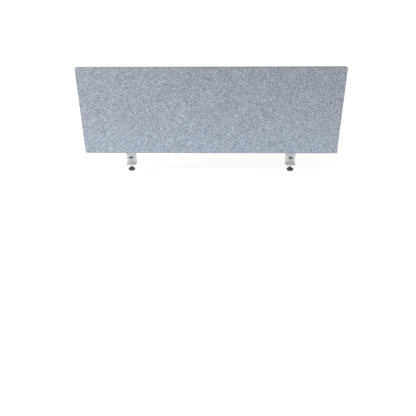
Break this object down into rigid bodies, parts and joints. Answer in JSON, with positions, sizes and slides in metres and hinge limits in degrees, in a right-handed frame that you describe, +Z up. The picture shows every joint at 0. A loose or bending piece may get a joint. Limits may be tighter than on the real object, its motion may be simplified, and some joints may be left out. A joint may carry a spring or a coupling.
{
  "type": "desk privacy panel",
  "caption": "Upholstered rectangular screen with rounded upper corners and a perimeter zip, held along a desk's rear edge by screw clamps.",
  "frame": {"origin": "the middle of the desk's rear top edge, where the desktop's upper surface meets its rear edge, with the panel standing on the edge above it", "axes": "+X to the user's right along the desk's edge, +Y away from the user through the panel's thickness, +Z up"},
  "size_m": [1.5047, 0.0535, 0.6021],
  "materials": {
    "woven_cover": "light blue-grey melange weave",
    "wadding": "white needled wadding",
    "acoustic_core": "dense fibre felt",
    "frame_wood": "planed, unfinished",
    "zip_tape": "woven tape",
    "zip_coil": "coiled monofilament",
    "zip_metal": "plated, slightly worn",
    "bottom_strip": "matt",
    "painted_steel": "light grey powder coat",
    "zinc_plated_steel": "bright zinc plate",
    "rubber": "matt",
    "moulded_knob": "fine moulded grain"
  },
  "bodies": {
    "panel": {"front_cover": "woven_cover", "rear_cover": "woven_cover", "front_wadding": "wadding", "rear_wadding": "wadding", "left_acoustic_core": "acoustic_core", "right_acoustic_core": "acoustic_core", "frame_top_rail": "frame_wood", "frame_bottom_rail": "frame_wood", "frame_left_stile": "frame_wood", "frame_centre_stile": "frame_wood", "frame_right_stile": "frame_wood", "left_mounting_block": "frame_wood", "right_mounting_block": "frame_wood", "dowel_left_top": "frame_wood", "dowel_left_bottom": "frame_wood", "dowel_centre_top": "frame_wood", "dowel_centre_bottom": "frame_wood", "dowel_right_top": "frame_wood", "dowel_right_bottom": "frame_wood", "zip_tape_front": "zip_tape", "zip_tape_rear": "zip_tape", "zip_chain": "zip_coil", "zip_start_stop": "zip_metal", "zip_end_stop": "zip_metal", "bottom_strip": "bottom_strip", "left_clamp_plate": "painted_steel", "left_jaw_pad": "rubber", "left_plate_screw_1": "zinc_plated_steel", "left_washer_1": "zinc_plated_steel", "left_threaded_insert_1": "zinc_plated_steel", "left_plate_screw_2": "zinc_plated_steel", "left_washer_2": "zinc_plated_steel", "left_threaded_insert_2": "zinc_plated_steel", "left_plate_screw_3": "zinc_plated_steel", "left_washer_3": "zinc_plated_steel", "left_threaded_insert_3": "zinc_plated_steel", "left_threaded_boss": "zinc_plated_steel", "right_clamp_plate": "painted_steel", "right_jaw_pad": "rubber", "right_plate_screw_1": "zinc_plated_steel", "right_washer_1": "zinc_plated_steel", "right_threaded_insert_1": "zinc_plated_steel", "right_plate_screw_2": "zinc_plated_steel", "right_washer_2": "zinc_plated_steel", "right_threaded_insert_2": "zinc_plated_steel", "right_plate_screw_3": "zinc_plated_steel", "right_washer_3": "zinc_plated_steel", "right_threaded_insert_3": "zinc_plated_steel", "right_threaded_boss": "zinc_plated_steel"},
    "left_pressure_pad": {"left_swivel_cup": "zinc_plated_steel", "left_pad_rubber": "rubber"},
    "left_screw": {"left_spindle": "zinc_plated_steel", "left_knob": "moulded_knob"},
    "right_pressure_pad": {"right_swivel_cup": "zinc_plated_steel", "right_pad_rubber": "rubber"},
    "right_screw": {"right_spindle": "zinc_plated_steel", "right_knob": "moulded_knob"},
    "zip_slider": {"zip_slider": "zip_metal"},
    "zip_pull": {"zip_pull": "zip_metal"}
  },
  "joints": [
    {"name": "left_pad_slide", "type": "slide", "parent": "panel", "child": "left_pressure_pad", "axis": [0, 0, 1], "range_m": [-0.021, 0.012]},
    {"name": "left_spindle_turn", "type": "hinge", "parent": "left_pressure_pad", "child": "left_screw", "pos_m": [-0.48, -0.024, -0.0296], "axis": [0, 0, 1], "range_deg": [-6108, 3516]},
    {"name": "right_pad_slide", "type": "slide", "parent": "panel", "child": "right_pressure_pad", "axis": [0, 0, 1], "range_m": [-0.021, 0.012]},
    {"name": "right_spindle_turn", "type": "hinge", "parent": "right_pressure_pad", "child": "right_screw", "pos_m": [0.48, -0.024, -0.0296], "axis": [0, 0, 1], "range_deg": [-6108, 3516]},
    {"name": "zip_slide", "type": "slide", "parent": "panel", "child": "zip_slider", "axis": [0, 0, 1], "range_m": [0, 0.45]},
    {"name": "pull_swing", "type": "hinge", "parent": "zip_slider", "child": "zip_pull", "pos_m": [0.7521, -0.0153, 0.0263], "axis": [0, -1, 0], "range_deg": [0, 170]}
  ],
  "couplings": [
    {"joint": "left_spindle_turn", "follows": "left_pad_slide", "rad_per_m": 5026.5},
    {"joint": "right_spindle_turn", "follows": "right_pad_slide", "rad_per_m": 5026.5}
  ]
}
